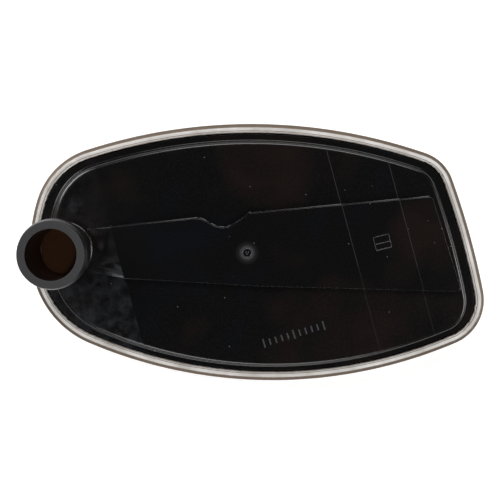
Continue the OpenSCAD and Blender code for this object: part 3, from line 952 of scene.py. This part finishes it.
def zincPlatedSteel():
    # zinc-plated pressed steel: cool grey with a faint spangle and a fine grain
    look = {"light": "#c3c6c9", "shade": "#9fa3a7", "spangleMm": 2.2, "grainMm": 0.4, "roughness": 0.32}
    m = newMaterial("zinc_plated_pressed_steel")
    place = addNode(m, "ShaderNodeTexCoord")
    spangle = addNode(m, "ShaderNodeTexVoronoi", {
        "Vector": (place, "Object"),
        "Scale": perMm(look["spangleMm"])})
    colour = addNode(m, "ShaderNodeValToRGB", {"Fac": (spangle, "Color")}, stops=[
        (0.2, linear(look["shade"])), (0.8, linear(look["light"]))])
    grain = addNode(m, "ShaderNodeTexNoise", {
        "Vector": (place, "Object"), "Scale": perMm(look["grainMm"]),
        "Detail": 4.0})
    rough = addNode(m, "ShaderNodeValToRGB", {"Fac": (grain, "Fac")}, stops=[
        (0.3, look["roughness"] - 0.06), (0.7, look["roughness"] + 0.08)])
    bump = addNode(m, "ShaderNodeBump", {"Height": (grain, "Fac"), "Strength": 0.2, "Distance": 0.05 * mm})
    shader = addNode(m, "ShaderNodeBsdfPrincipled", {
        "Base Color": (colour, "Color"), "Metallic": 1.0, "Roughness": (rough, "Color"),
        "Normal": (bump, "Normal")})
    return finishMaterial(m, shader)


def drawnSteelWire():
    # drawn and woven stainless wire: bright grey with fine darker patches
    look = {"light": "#b9b8b4", "shade": "#8b8a86", "lineMm": 0.25, "roughness": 0.3}
    m = newMaterial("drawn_stainless_wire")
    place = addNode(m, "ShaderNodeTexCoord")
    line = addNode(m, "ShaderNodeTexNoise", {
        "Vector": (place, "Object"), "Scale": perMm(look["lineMm"]),
        "Detail": 3.0})
    colour = addNode(m, "ShaderNodeValToRGB", {"Fac": (line, "Fac")}, stops=[
        (0.35, linear(look["shade"])), (0.65, linear(look["light"]))])
    rough = addNode(m, "ShaderNodeValToRGB", {"Fac": (line, "Fac")}, stops=[
        (0.3, look["roughness"] - 0.05), (0.7, look["roughness"] + 0.1)])
    shader = addNode(m, "ShaderNodeBsdfPrincipled", {
        "Base Color": (colour, "Color"), "Metallic": 1.0, "Roughness": (rough, "Color")})
    return finishMaterial(m, shader)


def give(piece, material):
    piece.data.materials.clear()
    piece.data.materials.append(material)


nylon, steel, rubber, zinc = glassFilledNylon(), tinPlatedSteel(), nitrileRubber(), zincPlatedSteel()
fineFelt = needledFelt("needled_brown_felt", "#7a4c30", "#b07a55")
coarseFelt = needledFelt("needled_tan_felt", "#8a7350", "#c4ac82")
for piece, material, node, slotName in (
        (coverPiece, nylon, "cover", "moulded_cover"),
        (panPiece, steel, "pan", "plated_steel"),
        (sealPiece, rubber, "neck_seal", "seal_rubber"),
        (fineFeltPiece, fineFelt, "fine_felt", "fine_felt"),
        (coarseFeltPiece, coarseFelt, "coarse_felt", "coarse_felt"),
        (collarPiece, zinc, "inlet_collar", "collar_steel"),
        (backingPiece, zinc, "collar_backing_ring", "collar_steel"),
        (screenPiece, drawnSteelWire(), "inlet_screen", "screen_wire")):
    give(piece, material)
    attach(piece, "root")
    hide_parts(node)
give(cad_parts["rim_gasket"], rubber)
give(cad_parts["spacer_grid"], naturalPolypropylene())
print("stage: materials")

# heights and places in mm; lights in metres and watts
studio = {
    "cameraHeight": 455, "frameWidth": 245, "cameraX": -3.5, "cameraY": 31.5, "shiftY": -0.124,
    "world": 0.03,
    "softboxes": [
        ("upper_softbox", (0.1, 0.85, 0.92), (0.9, 0.45), 6.6),
        ("left_softbox", (-0.8, 0.45, 0.7), (0.55, 0.45), 6.4),
        ("right_softbox", (0.95, -0.15, 0.8), (0.6, 0.45), 6.2),
        ("lower_softbox", (-0.1, -0.9, 0.85), (0.9, 0.45), 6.0)],
    "floorGlow": 0.35,  # the paper lies on a light table
    "neckLamp": {"from": (0.12, 0.03, 1.0), "power": 1.35, "beam": 4.6, "softness": 0.6},
}


def addLamp(name, kind, place, aim, power):
    light = bpy.data.lights.new(name, kind)
    light.energy = power
    lamp = bpy.data.objects.new(name, light)
    lamp.location = place
    lamp.rotation_euler = (Vector(aim) - Vector(place)).to_track_quat("-Z", "Y").to_euler()
    bpy.context.scene.collection.objects.link(lamp)
    return light


def buildStudio():
    bpy.ops.mesh.primitive_plane_add(size=12, location=(0, 0, -0.1 * mm))
    floor = bpy.context.object
    floor.name = "floor"
    m = newMaterial("matt_white_paper")
    shader = addNode(m, "ShaderNodeBsdfPrincipled", {
        "Base Color": linear("#f6f6f6"), "Roughness": 0.9, "Emission Color": linear("#ffffff"),
        "Emission Strength": studio["floorGlow"]})
    give(floor, finishMaterial(m, shader))
    world = bpy.data.worlds.new("studio")
    bpy.context.scene.world = world
    world.use_nodes = True
    world.node_tree.nodes["Background"].inputs["Color"].default_value = linear("#ffffff")
    world.node_tree.nodes["Background"].inputs["Strength"].default_value = studio["world"]
    for name, place, size, power in studio["softboxes"]:
        light = addLamp(name, "AREA", place, (0, 0, 0.02), power)
        light.shape = "RECTANGLE"
        light.size, light.size_y = size
    # a narrow lamp that reaches the felt at the bottom of the bore
    spot = studio["neckLamp"]
    light = addLamp("neck_lamp", "SPOT", spot["from"], (neckX * mm, neckY * mm, rimTop * mm), spot["power"])
    light.spot_size = math.radians(spot["beam"])
    light.spot_blend = spot["softness"]
    light.shadow_soft_size = 0.02
    data = bpy.data.cameras.new("camera")
    data.sensor_width = 36
    data.lens = data.sensor_width * studio["cameraHeight"] / studio["frameWidth"]
    data.shift_y = studio["shiftY"]
    camera = bpy.data.objects.new("camera", data)
    camera.location = (studio["cameraX"] * mm, studio["cameraY"] * mm, (studio["cameraHeight"] + rimTop) * mm)
    bpy.context.scene.collection.objects.link(camera)
    bpy.context.scene.camera = camera
    bpy.context.scene.view_settings.view_transform = "Standard"


buildStudio()
print("stage: studio")
